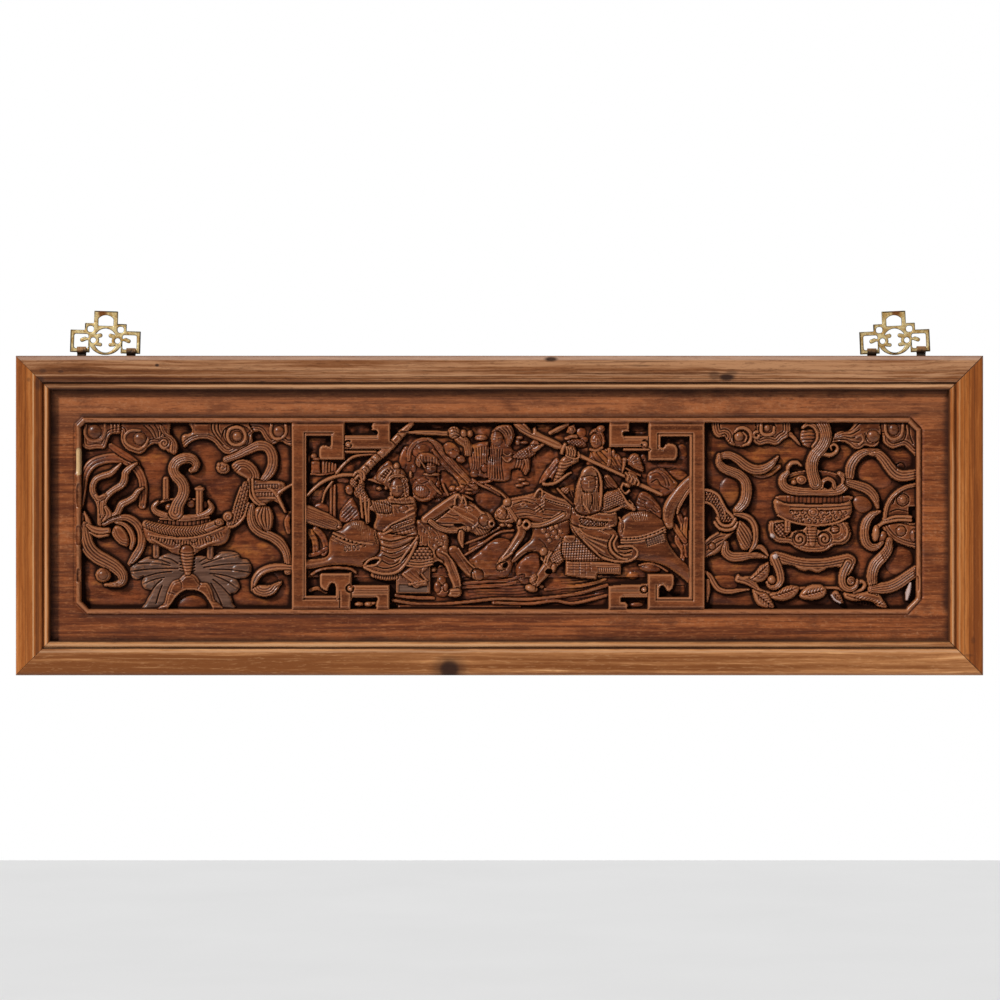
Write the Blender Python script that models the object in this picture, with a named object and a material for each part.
"""A long carved hardwood panel in a mitred moulded frame, with two pierced brass hangers on its top edge."""

import math

import bmesh
import bpy
import numpy as np
from mathutils import Matrix, Vector
from mathutils.geometry import tessellate_polygon

# The frame, in millimetres
PANEL_WIDTH = 965.5
PANEL_HEIGHT = 319.0
FRAME_DEPTH = 30.0
RAIL_FACE = 34.0
OUTER_ROUND = 3.5
BEAD_FACE = 5.6
LIP_BACK = 19.3
GROOVE_REACH = 7.0
GROOVE_BACK = 11.0
GAP = 0.3

# The carved board, in millimetres
BOARD_PLAY = 0.4
TONGUE_FLAT = 7.5
BACK_BEVEL = 15.0
BOARD_BACK = 4.0
RELIEF_DEPTH = 10.0
LATTICE_STEP = 2.0
BOARD_TRIANGLES = 6200

# The hangers and their straps, in millimetres
HANGER_WIDE = 70.6
PLATE_THICK = 2.0
BAR_HALF = 2.1
HANGER_BEHIND_FRONT = 20.0
HANGER_RISE = 5.5
LEFT_HANGER_IN = 87.25
RIGHT_HANGER_IN = 85.95
LEFT_LEAN = -1.7
RIGHT_LEAN = 2.6
LEFT_STRAP_OUT = 23.5
RIGHT_STRAP_OUT = 26.0
STRAP_WIDE = 9.0
STRAP_SHEET = 0.75
STRAP_LEG = 11.0
EYE_PLAY = 0.6
EYE_SIDES = 14
OUTLINE_STEP = 0.3
OUTLINE_SLACK = 0.06

MM = 0.001
DROP = PANEL_HEIGHT / 2 - RAIL_FACE / 2
EYE_INNER = math.hypot(BAR_HALF, PLATE_THICK / 2) + EYE_PLAY
HANGER_Y = HANGER_BEHIND_FRONT - FRAME_DEPTH
HANGER_Z = PANEL_HEIGHT / 2 + HANGER_RISE
LEFT_HANGER_X = LEFT_HANGER_IN - PANEL_WIDTH / 2
RIGHT_HANGER_X = PANEL_WIDTH / 2 - RIGHT_HANGER_IN

# The drawings of the carving and of the hanger are in units of their own, one to a millimetre at full size
DRAWN_BOARD = (455.35, 132.1)
DRAWN_RELIEF = 10
DRAWN_HANGER = 70.6

for thing in list(bpy.data.objects):
    bpy.data.objects.remove(thing, do_unlink=True)


def material(name, colour, metal, rough):
    made = bpy.data.materials.new(name)
    made.use_nodes = True
    shader = made.node_tree.nodes["Principled BSDF"]
    shader.inputs["Base Color"].default_value = (*colour, 1)
    shader.inputs["Metallic"].default_value = metal
    shader.inputs["Roughness"].default_value = rough
    return made


FRAME_WOOD = material("frame_wood", (0.36, 0.17, 0.075), 0, 0.4)
BOARD_WOOD = material("board_wood", (0.27, 0.11, 0.05), 0, 0.5)
BRASS = material("brass", (0.75, 0.56, 0.25), 1, 0.35)


def add_object(name, vertices, faces, surface):
    """Vertices in panel millimetres: x to the right, y towards the wall, z up from the panel's middle."""
    mesh = bpy.data.meshes.new(name)
    scaled = [(x * MM, y * MM, (z - DROP) * MM) for x, y, z in vertices]
    mesh.from_pydata(scaled, [], [list(map(int, face)) for face in faces])
    shape = bmesh.new()
    shape.from_mesh(mesh)
    bmesh.ops.recalc_face_normals(shape, faces=shape.faces)
    shape.to_mesh(mesh)
    shape.free()
    mesh.materials.append(surface)
    obj = bpy.data.objects.new(name, mesh)
    bpy.context.scene.collection.objects.link(obj)
    return obj


# Frame rails and stiles
def rail_profile():
    """Pairs of inward distance and depth, once round the section."""
    front = FRAME_DEPTH
    edge = RAIL_FACE
    groove = edge - BEAD_FACE - 1.4
    points = [(0, 0), (0, -(front - OUTER_ROUND))]
    for turn in (22.5, 45, 67.5, 90):
        reach = math.radians(turn)
        points.append((OUTER_ROUND * (1 - math.cos(reach)), -(front - OUTER_ROUND * (1 - math.sin(reach)))))
    points += [(groove - 2.4, -front), (groove - 0.8, -(front - 0.9)), (groove, -(front - 3.2))]
    points += [(groove + 1.1, -(front - 3.2))]
    bead_middle = edge - BEAD_FACE / 2
    for turn in range(0, 181, 36):
        reach = math.radians(turn)
        points.append((bead_middle - BEAD_FACE / 2 * math.cos(reach), -(front - 2.8) - 1.8 * math.sin(reach)))
    points += [(edge, -LIP_BACK), (edge - GROOVE_REACH, -LIP_BACK)]
    points += [(edge - GROOVE_REACH, -GROOVE_BACK), (edge, -GROOVE_BACK), (edge, 0)]
    return points


def frame_piece(name, upright, sign):
    """A prism of the rail section with both ends cut at the mitre."""
    profile = rail_profile()
    half_run = (PANEL_HEIGHT if upright else PANEL_WIDTH) / 2
    half_out = (PANEL_WIDTH if upright else PANEL_HEIGHT) / 2
    back_off = GAP / 2 * math.sqrt(2)
    vertices = []
    for end in (-1, 1):
        for inward, y in profile:
            run = end * (half_run - inward - back_off)
            out = sign * (half_out - inward)
            vertices.append((out, y, run) if upright else (run, y, out))
    count = len(profile)
    faces = [list(range(count)), list(range(count, 2 * count))]
    for first in range(count):
        second = (first + 1) % count
        faces.append([first, second, second + count, first + count])
    return add_object(name, vertices, faces, FRAME_WOOD)


# Lattice carving
def smooth(points, closed=False, steps=7):
    """A round curve through the given points."""
    p = np.array(points, float)
    p = np.vstack([p[-1], p, p[:2]]) if closed else np.vstack([2 * p[0] - p[1], p, 2 * p[-1] - p[-2]])
    t = np.linspace(0, 1, steps, endpoint=False)[:, None]
    pieces = []
    for a, b, c, d in zip(p, p[1:], p[2:], p[3:]):
        pieces.append(0.5 * (2 * b + (c - a) * t + (2 * a - 5 * b + 4 * c - d) * t**2 + (3 * b - a - 3 * c + d) * t**3))
    if not closed:
        pieces.append(p[-2][None])
    return np.vstack(pieces)


def spiral(x, z, radius, turns, start, inner=0.15):
    """Points winding in from the rim; a negative number of turns winds clockwise."""
    count = int(abs(turns) * 8) + 2
    made = []
    for step in range(count):
        share = step / (count - 1)
        angle = math.radians(start) + 2 * math.pi * turns * share
        reach = radius * (1 - share * (1 - inner))
        made.append((x + reach * math.cos(angle), z + reach * math.sin(angle)))
    return made


class Carving:
    """Heights above the sunk ground over a lattice of the board, drawn from the back layer to the front one."""

    def __init__(self, xs, zs, start):
        self.xs = xs
        self.zs = zs
        self.x, self.z = np.meshgrid(xs, zs)
        self.h = np.full(self.x.shape, float(start))

    def window(self, path, reach):
        i = np.searchsorted(self.xs, (path[:, 0].min() - reach, path[:, 0].max() + reach))
        j = np.searchsorted(self.zs, (path[:, 1].min() - reach, path[:, 1].max() + reach))
        return slice(j[0], j[1]), slice(i[0], i[1])

    def measure(self, path, reach):
        """Distance to the path, share of its length, and the side, over the window round it."""
        here = self.window(path, reach)
        x, z = self.x[here], self.z[here]
        best = np.full(x.shape, 1e9)
        run = np.zeros(x.shape)
        side = np.ones(x.shape)
        travelled = 0.0
        for (ax, az), (bx, bz) in zip(path, path[1:]):
            dx, dz = bx - ax, bz - az
            long = math.hypot(dx, dz) or 1e-9
            t = np.clip(((x - ax) * dx + (z - az) * dz) / long**2, 0, 1)
            ex, ez = x - ax - t * dx, z - az - t * dz
            d = ex * ex + ez * ez
            near = d < best
            best = np.where(near, d, best)
            run = np.where(near, travelled + t * long, run)
            side = np.where(near, np.sign(dx * ez - dz * ex), side)
            travelled += long
        return here, np.sqrt(best), run / max(travelled, 1e-9), side

    def ribbon(self, points, width, low, high, closed=False):
        """A rounded band along a curve; width and high may be lists spread over its length."""
        path = smooth(points, closed)
        if closed:
            path = np.vstack([path, path[:1]])
        width = np.atleast_1d(width)
        high = np.atleast_1d(high)
        here, d, run, side = self.measure(path, width.max() + 1)
        half = np.interp(run, np.linspace(0, 1, len(width)), width)
        crest = np.interp(run, np.linspace(0, 1, len(high)), high)
        across = np.clip(d / half, 0, 1)
        lift = low + (crest - low) * np.sqrt(1 - across**2)
        self.h[here] = np.where(d < half, lift, self.h[here])

    def boss(self, x, z, rx, rz, low, high, turn=0):
        """A rounded oval lump."""
        c, s = math.cos(math.radians(turn)), math.sin(math.radians(turn))
        u = (self.x - x) * c + (self.z - z) * s
        v = (self.z - z) * c - (self.x - x) * s
        across = np.hypot(u / rx, v / rz)
        lift = low + (high - low) * np.sqrt(np.clip(1 - across**2, 0, 1))
        self.h = np.where(across < 1, lift, self.h)

    def area(self, points, low, high, edge=4.0, rounded=True, tilt=(0, 0)):
        """A filled outline whose rim falls over the edge distance from high to low."""
        path = smooth(points, True) if rounded else np.array(points, float)
        path = np.vstack([path, path[:1]])
        here, d, run, side = self.measure(path, 1)
        x, z = self.x[here], self.z[here]
        inside = np.zeros(x.shape, bool)
        for (ax, az), (bx, bz) in zip(path, path[1:]):
            if az != bz:
                crosses = (az > z) != (bz > z)
                inside ^= crosses & (x < (bx - ax) * (z - az) / (bz - az) + ax)
        fall = 1 - np.clip(d / edge, 0, 1)
        middle = path.mean(axis=0)
        lift = low + (high - low) * np.sqrt(1 - fall**2)
        lift = lift + tilt[0] * (x - middle[0]) + tilt[1] * (z - middle[1])
        self.h[here] = np.where(inside, lift, self.h[here])

    def slab(self, x0, x1, z0, z1, high):
        """A flat oblong, raised or sunk."""
        inside = (self.x >= x0) & (self.x <= x1) & (self.z >= z0) & (self.z <= z1)
        self.h = np.where(inside, high, self.h)

    def cloud(self, outline, low, high, bosses):
        """A cloud hanging from the top of the field, with round scroll heads."""
        ends = [(outline[0][0], 95)], [(outline[-1][0], 95)]
        curve = [tuple(p) for p in smooth(outline, False, 4)]
        self.area(ends[0] + curve + ends[1], low, high, 5, False)
        for x, z, radius in bosses:
            self.boss(x, z, radius * 1.55, radius * 1.55, high - 1, high + 0.6)
            self.boss(x, z, radius, radius, high - 1, high + 2.2)


def carve_ground(c):
    """The sunk field with its chamfered corners, wavy ground and the fret bars."""
    left, right, top, bottom, cut = -421.5, 419.5, 95.5, -96.5, 11
    rim = [(left + cut, top), (right - cut, top), (right, top - cut), (right, bottom + cut)]
    rim += [(right - cut, bottom), (left + cut, bottom), (left, bottom + cut), (left, top - cut)]
    c.area(rim, 0, 1.2, 30, False)
    return rim


def carve_left(c):
    """Incense burner on lotus leaves, clouds, coral branches, ribbons and a scaly horn."""
    c.slab(-383, -335, 82, 94, 4.5)
    c.cloud([(-418, 66), (-405, 67), (-395, 69), (-390, 78), (-383, 81)], 3.5, 6.5, [(-405, 84, 6.5)])
    c.cloud([(-378, 84), (-379, 77), (-372, 67), (-362, 61), (-352, 68), (-345, 72), (-335, 80), (-326, 77)],
            3.5, 6.5, [(-361, 77, 6)])
    c.cloud([(-312, 82), (-305, 74), (-295, 76), (-285, 73), (-278, 65), (-270, 61), (-262, 64), (-248, 70),
             (-246, 80)], 3.5, 6.5, [(-262.5, 79, 6)])
    c.cloud([(-244, 86), (-240, 84), (-235, 76), (-230, 72), (-222, 73), (-215, 71), (-209, 72)],
            3.5, 6.5, [(-222, 83, 5.5)])
    c.ribbon([(-416, 20), (-416, 45), (-405, 53), (-390, 57), (-375, 53), (-362, 40), (-358, 12)], 5, 1, 4)
    c.ribbon([(-384, 49), (-398, 38), (-408, 26), (-404, 12), (-399, -2), (-397, -8)], 4, 3, 7)
    c.ribbon([(-364, 52), (-376, 38), (-387, 26), (-397, 14), (-400, 2)], 4, 4, 8)
    c.ribbon([(-357, 27), (-368, 17), (-381, 6), (-393, -3), (-397, -8)], 4, 4, 8.5)
    c.area([(-370, -52), (-352, -41), (-330, -40), (-311, -46), (-285, -40), (-262, -38), (-249, -53), (-262, -64),
            (-270, -88), (-311, -93), (-345, -90), (-352, -76), (-368, -62)], 1.5, 5, 8)
    c.ribbon([(-338, -92), (-328, -68), (-308, -58), (-292, -70), (-283, -90)], 4, 3, 7)
    c.ribbon([(-313, -30), (-313, -57)], [7, 4], 4, 9)
    c.area([(-358, -14), (-355, -25), (-345, -30), (-325, -38), (-300, -34), (-285, -30), (-273, -25), (-271, -12),
            (-313, -22)], 4, 9, 7)
    c.ribbon([(-355, -8), (-335, -15), (-313, -17), (-291, -15), (-273, -8)], 6, 4, 9)
    c.boss(-317, -6, 27, 7, 5, 9)
    c.ribbon([(-334, 36), (-334, 8)], 3.5, 4, 9)
    c.ribbon([(-300, 27), (-300, 2)], 3.5, 4, 9)
    c.boss(-317, 4, 31, 9, 5, 8)
    c.boss(-317, 6, 26, 6, 3, 2)
    c.ribbon([(-313, 50), (-308, 44), (-302, 50), (-307, 58), (-318, 60), (-327, 52), (-328, 44), (-316, 32),
              (-314, 24), (-320, 15), (-323, 6)], [4, 5, 6, 6, 6, 6], 5, 9.5)
    c.ribbon([(-378, -3), (-366, -8), (-359, -18), (-357, -28), (-361, -38), (-367, -46)], 4, 3, 7)
    c.boss(-378, -20, 14, 8, 3, 8, -50)
    c.ribbon([(-415, -5), (-416, -20), (-412, -33), (-402, -42), (-390, -48), (-380, -55), (-377, -62), (-381, -69),
              (-398, -68)], 7.5, 4, 9)
    c.ribbon([(-416, 3), (-410, -12), (-392, -16)], 4, 3, 8)
    c.ribbon([(-275, 53), (-262, 60), (-250, 65), (-238, 71), (-227, 64), (-226, 45), (-230, 36)], 5, 3, 7)
    c.ribbon([(-268, 52), (-258, 56), (-248, 52), (-241, 44), (-240, 36)], 4.5, 4, 8.5)
    c.ribbon([(-228, 23), (-212, 29)], 3, 4, 7)
    c.area([(-250, 10), (-250, 35), (-222, 34), (-222, 12)], 4, 9, 4, False)
    c.ribbon([(-254, 32), (-258, 18), (-262, 5), (-267, -4), (-274, -6)], [7, 7, 6, 5], 4, 9)
    c.boss(-236, -3, 8, 12, 4, 9)
    c.ribbon([(-247, 8), (-249, -8), (-243, -18), (-230, -22), (-220, -28), (-214, -38), (-213, -50)], 5, 3, 8)
    c.ribbon([(-213, -52), (-228, -53), (-240, -57), (-247, -68), (-242, -79), (-228, -78), (-222, -70)], 5, 3, 8)


def carve_right(c):
    """Bowl with smoke on a low table, clouds, ribbons, a half disc and a leafy branch."""
    c.cloud([(213, 90), (215, 82), (224, 77), (232, 70), (246, 69), (252, 75), (261, 70), (275, 71), (285, 78),
             (293, 80), (294, 90)], 3.5, 6.5, [(240, 79, 5), (267, 86, 5)])
    c.cloud([(333, 71), (344, 74), (356, 68), (361, 66), (368, 70), (376, 68), (384, 76), (392, 68), (402, 70),
             (409, 67), (417, 60)], 3.5, 6.5, [(374, 79, 5), (394, 86, 6)])
    c.ribbon([(277, 60), (268, 49), (256, 46), (240, 54), (226, 60)], 6, 2, 6)
    c.ribbon([(226, 60), (221, 52), (232, 46), (244, 38), (247, 24), (245, 12), (236, 6)], 7, 3, 8)
    c.ribbon([(206, 24), (217, 18), (226, 6), (232, -8)], [8, 9, 10, 10], 4, 9)
    c.ribbon([(216, -8), (222, -13), (232, -13), (239, -7)], 4, 5, 9)
    c.ribbon([(237, 0), (247, -2), (255, -9), (256, -20), (252, -30), (246, -34)], 5, 4, 8.5)
    c.boss(246, -21, 7.5, 13, 5, 9, 15)
    c.area([(206, -27), (218, -17), (230, -16), (222, -30), (206, -41)], 3, 8, 5)
    c.ribbon([(226, -30), (230, -38), (240, -41), (252, -38), (262, -33), (270, -40)], 5, 3, 8)
    c.ribbon([(208, -56), (214, -66), (224, -75), (240, -76), (251, -73)], [5, 4, 3], 2, 6)
    c.area([(272, 14), (276, 2), (284, -5), (313, -11), (342, -6), (351, 2), (354, 14), (313, 20)], 4, 9.5, 8)
    c.boss(315, 33, 35, 12.5, 5, 8)
    c.boss(315, 34, 27, 8, 3, 2.5)
    c.ribbon([(290, 44), (294, 51), (300, 47)], 2.5, 4, 8)
    c.ribbon([(316, 34), (313, 46), (316, 58), (325, 70), (325, 82), (315, 92)], 7, 5, 9.5)
    c.boss(312, 78, 8, 9, 3, 5)
    c.ribbon([(324, 63), (334, 61), (337, 67), (333, 71)], 2.5, 4, 7)
    c.area([(270, -15), (276, -25), (290, -27), (302, -35), (315, -37), (328, -34), (337, -29), (349, -25), (351, -15),
            (345, -9), (313, -12), (278, -8)], 4, 9, 6)
    c.ribbon([(313, -9), (313, -27)], [5, 3.5], 6, 10)
    c.area([(272, -38), (280, -38), (313, -43), (349, -40), (356, -46), (350, -55), (343, -53), (320, -56), (300, -52),
            (284, -50), (274, -50)], 4, 8.5, 5, False)
    c.ribbon([(276, -44), (281, -54), (283, -66), (274, -71), (270, -66)], [4, 4.5, 4.5, 4], 4, 9)
    c.ribbon([(350, -46), (345, -56), (343, -66), (350, -72), (357, -67), (352, -62)], [4, 4.5, 4.5, 4], 4, 9)
    c.ribbon([(236, -62), (252, -70), (272, -75), (300, -76), (334, -73), (366, -79), (386, -91)], 3, 2, 6)
    for x, z, long, wide, turn in ((260, -57, 14, 8, 40), (264, -84, 13, 9, -55), (287, -78, 13, 7, 15),
                                   (313, -76, 15, 8, 0), (339, -81, 10, 5, -50), (376, -84, 14, 6, -45)):
        c.boss(x, z, long, wide, 3, 8.5, turn)
    c.ribbon([(350, 42), (353, 55), (366, 63), (378, 62)], 7, 2, 7)
    c.ribbon([(372, 64), (384, 56), (394, 46), (404, 40), (418, 40)], 7, 4, 9)
    c.ribbon([(350, 31), (365, 27), (375, 22), (381, 12)], 6, 3, 7)
    c.area([(418, 30), (402, 26), (390, 17), (385, 4), (386, -10), (395, -22), (408, -30), (418, -31)], 3, 6.5, 5)
    c.boss(404, 15, 6, 6, 5, 8.5)
    c.ribbon([(382, -9), (392, -3), (404, -1), (418, -8)], 3.5, 5, 9)
    c.boss(402, -16, 7, 7, 5, 8.5)
    c.ribbon([(384, 3), (370, -4), (366, -16), (370, -28), (378, -30), (382, -20)], 6, 3, 8)
    c.ribbon([(390, -25), (384, -36), (375, -48), (373, -62), (377, -74)], 6, 4, 9)
    c.ribbon([(378, -70), (392, -71), (404, -65), (416, -55)], 6, 3, 8)


def carve_middle(c):
    """Two mounted warriors charging at each other before tents, hills and standing figures."""
    c.area([(-158, -5), (-156, 12), (-147, 18), (-141, 5), (-140, -5)], 1, 3, 4)
    c.slab(-190, -163, 42, 54, 2.5)
    c.ribbon([(-166, 28), (-166, 0)], 3.5, 1, 3)
    c.area([(-183, -40), (-183, -14), (-160, -14), (-160, -40)], 1, 3, 3, False)
    c.area([(-28, -45), (-15, -34), (0, -28), (12, -28), (6, -44), (0, -60), (-20, -60)], 1.5, 4.5, 8)
    c.area([(16, -50), (24, -39), (36, -39), (40, -60), (20, -66)], 1, 3.5, 6)
    c.area([(145, 25), (148, 42), (163, 46), (176, 34), (178, 18), (160, 20)], 1.5, 4, 6)
    c.area([(-93, 50), (-92, 66), (-80, 77), (-68, 76), (-54, 61), (-24, 31), (-30, 26), (-52, 46), (-60, 20), (-88, 20)],
           1.5, 3.5, 5)
    c.ribbon([(-67, 75), (-48, 53), (-26, 31)], 4, 2, 5)
    c.boss(-48, 64, 8, 11, 2, 5)
    c.boss(-71, 50, 9, 10, 3, 6)
    c.boss(-77, 24, 8, 8, 3, 6)
    c.area([(-28, 68), (-28, 44), (-12, 40), (-10, 75), (-20, 82)], 1, 4, 4)
    c.area([(-6, 44), (-6, 70), (-3, 86), (8, 90), (14, 84), (12, 66), (28, 66), (29, 46), (22, 46)], 2, 6, 6)
    c.boss(1, 77, 8, 10, 4, 7.5)
    c.ribbon([(26, 65), (36, 67), (44, 71)], [5, 4, 2.5], 3, 7)
    c.area([(90, 50), (92, 62), (93, 82), (100, 90), (106, 84), (106, 66), (120, 60), (122, 44), (104, 50)], 1.5, 5, 6)
    c.area([(129, 50), (130, 61), (137, 63), (141, 58), (146, 44), (141, 43)], 2, 5.5, 4)
    c.boss(72, 86, 4.5, 4.5, 2, 5)
    c.ribbon([(52, 83), (68, 91)], 3, 2, 5)
    c.area([(43, 33), (50, 50), (58, 56), (60, 36)], 1.5, 4.5, 5)
    c.ribbon([(-107, -87), (-70, -90), (-30, -86), (10, -87), (60, -84), (104, -74)], 2.5, 1.5, 4)
    c.ribbon([(-35, -68), (0, -66), (22, -62)], 2, 1.5, 3)
    c.ribbon([(50, -89), (80, -88), (107, -80)], 2, 1.5, 3.5)
    carve_left_rider(c)
    carve_right_rider(c)


def carve_left_rider(c):
    c.ribbon([(-194, 1), (-178, -4), (-164, -12)], [8, 8, 6], 4, 9)
    c.area([(-171, -25), (-160, -14), (-150, -9), (-142, -5), (-132, -9), (-122, -14), (-122, -40), (-135, -51),
            (-155, -49), (-172, -50), (-193, -53), (-193, -45), (-180, -43), (-171, -40)], 4, 9, 7)
    c.area([(-80, -8), (-66, -8), (-52, -12), (-50, -30), (-50, -37), (-46, -50), (-40, -70), (-40, -81), (-51, -80),
            (-50, -70), (-55, -55), (-64, -50), (-72, -46), (-84, -36)], 3.5, 8, 6)
    c.ribbon([(-46, -36), (-38, -47), (-29, -58), (-22, -62)], [6, 5, 5, 6], 3, 7)
    c.area([(-76, -6), (-58, 6), (-44, 17), (-34, 12), (-22, 8), (-12, 2), (-6, -8), (-12, -18), (-24, -20), (-36, -14),
            (-52, -15), (-66, -8)], 4, 9, 7)
    c.ribbon([(-72, -2), (-55, 9), (-42, 19)], 5, 5, 9.5)
    c.boss(-37, 15, 4, 6, 6, 10)
    c.boss(-14, -8, 9, 8, 6, 10)
    c.ribbon([(-67, -7), (-58, -13), (-48, -15), (-35, -13)], 2.6, 6, 10)
    c.ribbon([(-38.5, -17), (-37, -31)], [3.5, 3], 4, 8)
    c.area([(-103, -53), (-103, -77), (-69, -77), (-69, -50)], 3, 7, 3, False)
    c.area([(-97, -60), (-88, -52), (-70, -51), (-71, -60), (-72, -68), (-83, -71)], 5, 9.5, 5)
    c.area([(-95, -46), (-84, -32), (-70, -31), (-65, -38), (-67, -50), (-92, -51)], 5, 9.5, 6)
    c.ribbon([(-124, -61), (-105, -62)], 3, 3, 7)
    c.area([(-121, -20), (-118, -35), (-130, -42), (-136, -49), (-128, -55), (-113, -58), (-100, -54), (-90, -42),
            (-82, -26), (-86, -18)], 5, 10, 7)
    c.area([(-122, -18), (-120, 0), (-128, 8), (-112, 14), (-100, 17), (-85, 15), (-83, 0), (-84, -18)], 5, 10, 7)
    c.ribbon([(-108, -14), (-95, -8), (-84, 2)], 3, 8, 10.5)
    c.ribbon([(-138, 36), (-138, 20), (-134, 4), (-133, -7)], [5, 5, 4.5, 3], 5, 9.5)
    c.ribbon([(-191, 22), (-180, 32), (-168, 38), (-155, 41), (-140, 40)], 2, 4, 8)
    c.ribbon([(-161, 44), (-153, 54), (-143, 60), (-125, 61)], 1.8, 2, 6)
    c.ribbon([(-139, 41), (-120, 60), (-104, 75), (-89, 91)], 4.2, 5, 10)
    c.boss(-140, 38, 6, 5, 6, 10.5)
    c.area([(-124, 40), (-118, 50), (-108, 54), (-98, 50), (-92, 36), (-94, 20), (-104, 16), (-114, 20), (-116, 34)],
           5, 10, 6)
    c.ribbon([(-99, 82.5), (-52, 82)], 2.4, 4, 8)
    c.boss(-45, 82, 7, 6.5, 4, 9)
    c.ribbon([(-39, 76), (-32, 62)], [5, 7], 3, 7)


def carve_right_rider(c):
    c.ribbon([(190, 32), (178, 18), (171, 4), (169, -8)], [6, 7, 7, 5], 4, 9)
    c.area([(120, -8), (128, 1), (140, 5), (155, 2), (166, -8), (170, -28), (178, -40), (190, -52), (190, -68),
            (178, -58), (160, -48), (140, -46), (122, -40)], 4, 9, 7)
    c.area([(38, -10), (66, -4), (68, -30), (60, -42), (40, -46), (28, -40), (14, -46), (22, -34), (36, -26)],
           3, 7.5, 6)
    c.ribbon([(22, -12), (20, -22), (12, -34), (3, -46)], [4, 4.5, 4, 4], 4, 8.5)
    c.boss(2, -51, 6, 4.5, 4, 8.5, 30)
    c.area([(0, -4), (-3, 4), (6, 10), (20, 17), (34, 22), (42, 26), (50, 18), (70, 12), (78, 2), (66, -6), (48, -10),
            (30, -8), (18, -5)], 4, 9, 7)
    c.ribbon([(44, 18), (58, 15), (72, 10)], 4, 6, 9)
    c.boss(39, 21, 4, 6, 6, 10, -30)
    c.boss(3, 0, 7, 6, 5, 9.5)
    c.ribbon([(31, -11), (46, -8), (56, -4), (64, 1)], 3, 6, 10)
    c.boss(27, -9, 4.5, 4.5, 5, 9.5)
    c.area([(66, -45), (97, -45), (122, -47), (122, -59), (97, -60), (97, -64), (66, -60)], 4, 9, 3, False)
    c.ribbon([(58, -38), (48, -52), (38, -66)], [8, 7, 5], 5, 9.5)
    c.boss(32, -73, 6.5, 4, 5, 9, -15)
    c.boss(45, -36, 5, 5, 6, 9.5)
    c.area([(63, -22), (80, -20), (102, -30), (102, -45), (66, -44)], 5, 9.5, 5)
    c.area([(70, -6), (88, -12), (112, -10), (118, -28), (136, -32), (140, -38), (132, -46), (118, -46), (100, -42),
            (84, -28)], 6, 10, 7)
    c.area([(72, 4), (76, 14), (88, 10), (104, 26), (118, 28), (134, 8), (128, 4), (114, 6), (112, -12), (84, -14),
            (72, -6)], 5, 10, 6)
    c.area([(76, 10), (78, 34), (82, 46), (90, 49), (98, 46), (103, 34), (101, 10), (88, 2)], 5, 9.5, 6)
    c.boss(90, 38, 9, 9, 6, 11)
    c.ribbon([(84, 26), (85, 6)], [4, 2.5], 7, 10.5)
    c.ribbon([(58, 38), (64, 54), (72, 62)], [7, 7, 6], 4, 9)
    c.ribbon([(47, 31), (56, 32), (70, 43)], 2.2, 4, 8.5)
    c.ribbon([(80, 60), (104, 49), (126, 39), (160, 21)], 2.6, 4, 8.5)
    c.boss(70, 64, 6.5, 6.5, 5, 10)
    c.boss(131, 35, 6, 6, 5, 10)
    c.area([(14, 92), (28, 92), (33, 84), (36, 89), (40, 83), (58, 74), (62, 66), (54, 67), (30, 78), (18, 85)],
           4, 9, 3, False)


def carve_frets(c):
    """The upright bars and the square frets in the corners of the middle field, left and mirrored right."""
    for sign, shift in ((1, 0), (-1, -1.5)):
        for side in (1, -1):
            def oblong(x0, x1, z0, z1, high):
                ends = sorted((sign * x0 + shift, sign * x1 + shift))
                c.slab(ends[0], ends[1], *sorted((side * z0, side * z1)), high)
            oblong(-196, -155, 80, 95, 8.5)
            oblong(-205, -155, 83, 95, 10)
            oblong(-168, -155, 56, 95, 10)
            oblong(-180, -155, 56, 68, 10)
            oblong(-156, -109, 67, 80, 10)
            oblong(-122, -109, 67, 94, 10)
            oblong(-150, -124, 62, 65, 8)
            c.boss(sign * -177 + shift, side * 66, 4.5, 6.5, 8, 10)
    c.slab(-208, -192, -96, 95, 10)
    c.slab(191, 205, -96, 95, 10)


def carve_rim(c, rim):
    """The raised bead round the field."""
    path = np.array(rim + rim[:1], float)
    here, d, run, side = c.measure(path, 4)
    c.h[here] = np.where(d < 3.4, 9.6 + 2.4 * np.sqrt(1 - np.clip(d / 3.4, 0, 1) ** 2), c.h[here])


# Carved board
def lattice(half, step, ruled):
    """Even lattice lines, with a close pair at every place where the board has a straight edge."""
    lines = set(np.round(np.linspace(-half, half, int(2 * half / step)), 3))
    for place in ruled:
        lines = {line for line in lines if abs(line - place) > step * 0.6 or abs(line) == round(half, 3)}
        lines |= {round(place - 0.15, 3), round(place + 0.15, 3)}
    return np.array(sorted(lines))


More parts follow.
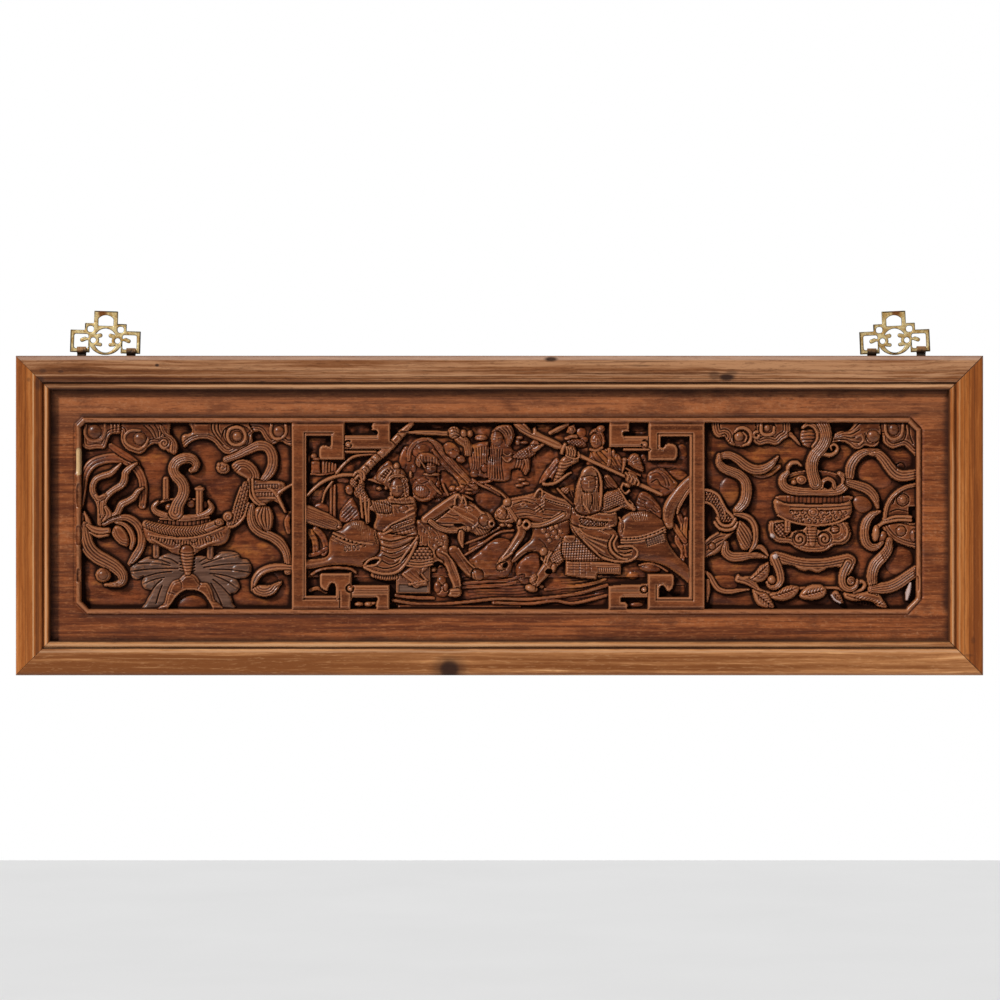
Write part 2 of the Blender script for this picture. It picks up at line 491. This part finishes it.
def carved_board():
    half_x = PANEL_WIDTH / 2 - RAIL_FACE + GROOVE_REACH - BOARD_PLAY
    half_z = PANEL_HEIGHT / 2 - RAIL_FACE + GROOVE_REACH - BOARD_PLAY
    stretch_x = half_x / DRAWN_BOARD[0]
    stretch_z = half_z / DRAWN_BOARD[1]
    steps = [half_x - TONGUE_FLAT, half_x - TONGUE_FLAT - BACK_BEVEL]
    rises = [half_z - TONGUE_FLAT, half_z - TONGUE_FLAT - BACK_BEVEL]
    bars = [place * stretch_x for place in (-208, -192, 191, 205)]
    frets = [place * stretch_z for place in (80, 83, 67, -67, -80, -83)]
    xs = lattice(half_x, LATTICE_STEP, bars + steps + [-place for place in steps])
    zs = lattice(half_z, LATTICE_STEP, frets + rises + [-place for place in rises])
    c = Carving(xs / stretch_x, zs / stretch_z, DRAWN_RELIEF)
    rim = carve_ground(c)
    carve_left(c)
    carve_right(c)
    carve_middle(c)
    carve_frets(c)
    carve_rim(c, rim)
    margin = -(LIP_BACK - GAP)
    front = margin + RELIEF_DEPTH * (1 - c.h / DRAWN_RELIEF)
    tongue = -(GROOVE_BACK + GAP)
    flat_x = c.x * stretch_x
    flat_z = c.z * stretch_z
    inset = np.minimum(half_x - abs(flat_x), half_z - abs(flat_z)) - TONGUE_FLAT
    back = tongue + (-BOARD_BACK - tongue) * np.clip(inset / BACK_BEVEL, 0, 1)
    rows, columns = c.x.shape
    vertices = np.vstack([np.column_stack([flat_x.ravel(), depth.ravel(), flat_z.ravel()])
                          for depth in (front, back)])
    number = np.arange(rows * columns).reshape(rows, columns)
    cells = np.stack([number[:-1, :-1], number[:-1, 1:], number[1:, 1:], number[1:, :-1]], -1).reshape(-1, 4)
    faces = [tuple(cell) for cell in cells]
    faces += [tuple(cell[::-1] + rows * columns) for cell in cells]
    loop = np.concatenate([number[0, :-1], number[:-1, -1], number[-1, :0:-1], number[:0:-1, 0]])
    for a, b in zip(loop, np.roll(loop, -1)):
        faces.append((b, a, a + rows * columns, b + rows * columns))
    board = add_object("carved_board", vertices, faces, BOARD_WOOD)
    thin = board.modifiers.new("thin", "DECIMATE")
    thin.ratio = BOARD_TRIANGLES / (2 * len(faces))
    return board


# Hangers
def oval(x, z, cx, cz, rx, rz):
    return (np.hypot((x - cx) / rx, (z - cz) / rz) - 1) * min(rx, rz)


def oblong_field(x, z, x0, x1, z0, z1, corner):
    dx = abs(x - (x0 + x1) / 2) - (x1 - x0) / 2 + corner
    dz = abs(z - (z0 + z1) / 2) - (z1 - z0) / 2 + corner
    return np.hypot(np.maximum(dx, 0), np.maximum(dz, 0)) + np.minimum(np.maximum(dx, dz), 0) - corner


def rod(x, z, ax, az, bx, bz, half):
    t = np.clip(((x - ax) * (bx - ax) + (z - az) * (bz - az)) / ((bx - ax) ** 2 + (bz - az) ** 2), 0, 1)
    return np.hypot(x - ax - t * (bx - ax), z - az - t * (bz - az)) - half


def hanger_field(x, z, bar):
    """Negative inside the pierced plate; the origin is the middle of the bottom bars."""
    x = abs(x)
    body = np.minimum(oblong_field(x, z, 15.5, 35.3, -bar, 20.5, 0.6), oblong_field(x, z, -21, 21, 10, 27.5, 0.6))
    body = np.minimum(body, oblong_field(x, z, -12, 12, 15, 40, 0.6))
    body = np.minimum(body, oval(x, z, 0, 10.3, 16.8, 14.4))
    window = oblong_field(x, z, 17.2, 31.3, bar, 16.4, 1.8)
    finger = np.minimum(rod(x, z, 15, 11.4, 20.5, 11.6, 1.4), rod(x, z, 20.5, 11.6, 23.4, 10.4, 2.1))
    window = np.maximum(window, -finger)
    ring = oval(x, z, 0, 10.4, 11.2, 12)
    waist = oval(x, z, 12.2, 10.4, 6, 5.6)
    waist = np.minimum(waist, rod(x, z, 8.4, 14.6, 5.2, 15.4, 2.2))
    waist = np.minimum(waist, rod(x, z, 8.4, 6.6, 5.0, 6.2, 1.9))
    ring = np.maximum(ring, -waist)
    nail = np.maximum(oblong_field(x, z, -7.5, 7.5, 25.2, 38, 0.8), oval(x, z, 0, 26.6, 9.4, 9.2))
    holes = np.minimum(oval(x, z, 12.2, 10.4, 2.7, 2.7), oblong_field(x, z, 11.9, 18.2, 18.6, 24.6, 2.4))
    for cut in (window, ring, nail, holes):
        body = np.maximum(body, -cut)
    return body


def contour(field, xs, zs):
    """Closed loops along the zero line of a lattice of numbers."""
    inside = field < 0
    following = {}
    points = {}

    def crossing(i, j, k, m):
        key = (i, j, k, m) if (i, j) <= (k, m) else (k, m, i, j)
        if key not in points:
            a, b = field[key[1], key[0]], field[key[3], key[2]]
            t = min(max(a / (a - b), 0.02), 0.98)
            points[key] = (xs[key[0]] + t * (xs[key[2]] - xs[key[0]]), zs[key[1]] + t * (zs[key[3]] - zs[key[1]]))
        return key

    mixed = inside[:-1, :-1].astype(int) + inside[1:, :-1] + inside[:-1, 1:] + inside[1:, 1:]
    for j, i in np.argwhere((mixed > 0) & (mixed < 4)):
        corners = [(i, j), (i + 1, j), (i + 1, j + 1), (i, j + 1)]
        entries = []
        exits = []
        for a, b in zip(corners, corners[1:] + corners[:1]):
            if inside[a[1], a[0]] != inside[b[1], b[0]]:
                (exits if inside[a[1], a[0]] else entries).append(crossing(*a, *b))
        for leave, enter in zip(exits, entries if len(entries) == 1 else entries[::-1]):
            following[leave] = enter
    loops = []
    while following:
        start = here = next(iter(following))
        loop = []
        while here in following:
            loop.append(points[here])
            here = following.pop(here)
        if here == start and len(loop) > 8:
            loops.append(loop)
    return loops


def thinned(loop, slack):
    """The loop with every point left out that lies within the slack of its neighbours' line."""
    points = np.array(loop)
    first = int(np.argmax(points[:, 0] + 0.37 * points[:, 1]))
    points = np.roll(points, -first, axis=0)
    far = int(np.argmax(np.hypot(*(points - points[0]).T)))

    def keep(low, high):
        if high - low < 2:
            return []
        a, b = points[low], points[high % len(points)]
        across = (points[low + 1:high] - a) @ np.array([-(b - a)[1], (b - a)[0]]) / math.hypot(*(b - a))
        worst = int(np.argmax(abs(across)))
        if abs(across[worst]) < slack:
            return []
        middle = low + 1 + worst
        return keep(low, middle) + [middle] + keep(middle, high)

    chosen = [0] + keep(0, far) + [far] + keep(far, len(points))
    return [tuple(points[index]) for index in chosen]


def hanger(name, centre, lean):
    xs = np.arange(-37, 37.01, OUTLINE_STEP) + 0.013
    zs = np.arange(-6, 42.01, OUTLINE_STEP) + 0.017
    x, z = np.meshgrid(xs, zs)
    stretch = HANGER_WIDE / DRAWN_HANGER
    field = hanger_field(x, z, BAR_HALF / stretch)
    loops = [thinned(loop, OUTLINE_SLACK) for loop in contour(field, xs * stretch, zs * stretch)]
    loops.sort(key=len, reverse=True)
    flat = [point for loop in loops for point in loop]
    triangles = tessellate_polygon([[Vector((px, pz, 0)) for px, pz in loop] for loop in loops])
    count = len(flat)
    place = Matrix.Translation((centre, HANGER_Y, HANGER_Z)) @ Matrix.Rotation(math.radians(-lean), 4, "Y")
    vertices = []
    for y in (-PLATE_THICK / 2, PLATE_THICK / 2):
        vertices += [tuple(place @ Vector((px, y, pz))) for px, pz in flat]
    faces = [tuple(face) for face in triangles]
    faces += [tuple(index + count for index in face[::-1]) for face in triangles]
    start = 0
    for loop in loops:
        for step in range(len(loop)):
            a, b = start + step, start + (step + 1) % len(loop)
            faces.append((a, b, b + count, a + count))
        start += len(loop)
    return add_object(name, vertices, faces, BRASS)


# Straps
def strap(name, centre, lean, along):
    """A folded brass strap: a round eye about the hanger's bar and two legs pressed together in the rail."""
    turn = math.radians(lean)
    eye_x = centre + along * math.cos(turn)
    eye_z = HANGER_Z + along * math.sin(turn)
    outer = EYE_INNER + STRAP_SHEET
    stem = STRAP_SHEET + 0.15
    seam = math.degrees(math.asin(stem / outer))
    ring = []
    for step in range(EYE_SIDES + 1):
        angle = math.radians(-90 + seam + (360 - 2 * seam) * step / EYE_SIDES)
        ring.append((outer * math.cos(angle), outer * math.sin(angle)))
    inner = []
    for step in range(EYE_SIDES + 1):
        angle = math.radians(-90 + 360 * step / (EYE_SIDES + 1))
        inner.append((EYE_INNER * math.cos(angle), EYE_INNER * math.sin(angle)))
    foot = PANEL_HEIGHT / 2 - STRAP_LEG - eye_z
    outline = [(-stem, foot), (stem, foot)] + ring
    loops = [outline, inner]
    triangles = tessellate_polygon([[Vector((y, z, 0)) for y, z in loop] for loop in loops])
    flat = [point for loop in loops for point in loop]
    count = len(flat)
    vertices = []
    for x in (-STRAP_WIDE / 2, STRAP_WIDE / 2):
        vertices += [(eye_x + x, HANGER_Y + y, eye_z + z) for y, z in flat]
    faces = [tuple(face) for face in triangles]
    faces += [tuple(index + count for index in face[::-1]) for face in triangles]
    start = 0
    for loop in loops:
        for step in range(len(loop)):
            a, b = start + step, start + (step + 1) % len(loop)
            faces.append((a, b, b + count, a + count))
        start += len(loop)
    add_object(name, vertices, faces, BRASS)
    return eye_x, stem


def cut_slot(rail, number, x, stem):
    """A mortise in the rail's top edge for the strap's legs."""
    wide = STRAP_WIDE / 2 + GAP
    thick = stem + GAP
    top = PANEL_HEIGHT / 2
    corners = []
    for z in (top - STRAP_LEG - GAP, top + 5):
        corners += [(x - wide, HANGER_Y - thick, z), (x + wide, HANGER_Y - thick, z)]
        corners += [(x + wide, HANGER_Y + thick, z), (x - wide, HANGER_Y + thick, z)]
    sides = [(0, 1, 2, 3), (4, 5, 6, 7), (0, 1, 5, 4), (1, 2, 6, 5), (2, 3, 7, 6), (3, 0, 4, 7)]
    cutter = add_object("slot_cutter_" + str(number), corners, sides, FRAME_WOOD)
    cutter.hide_render = True
    cutter.display_type = "WIRE"
    cut = rail.modifiers.new("slot_" + str(number), "BOOLEAN")
    cut.operation = "DIFFERENCE"
    cut.solver = "EXACT"
    cut.object = cutter


top_rail = frame_piece("frame_top_rail", False, 1)
frame_piece("frame_bottom_rail", False, -1)
frame_piece("frame_left_stile", True, -1)
frame_piece("frame_right_stile", True, 1)
carved_board()
hanger("left_hanger", LEFT_HANGER_X, LEFT_LEAN)
hanger("right_hanger", RIGHT_HANGER_X, RIGHT_LEAN)
slots = 0
for which, middle, lean in (("left", LEFT_HANGER_X, LEFT_LEAN), ("right", RIGHT_HANGER_X, RIGHT_LEAN)):
    for side, along in (("left", -LEFT_STRAP_OUT), ("right", RIGHT_STRAP_OUT)):
        slots += 1
        eye, half_stem = strap(which + "_hanger_" + side + "_strap", middle, lean, along)
        cut_slot(top_rail, slots, eye, half_stem)
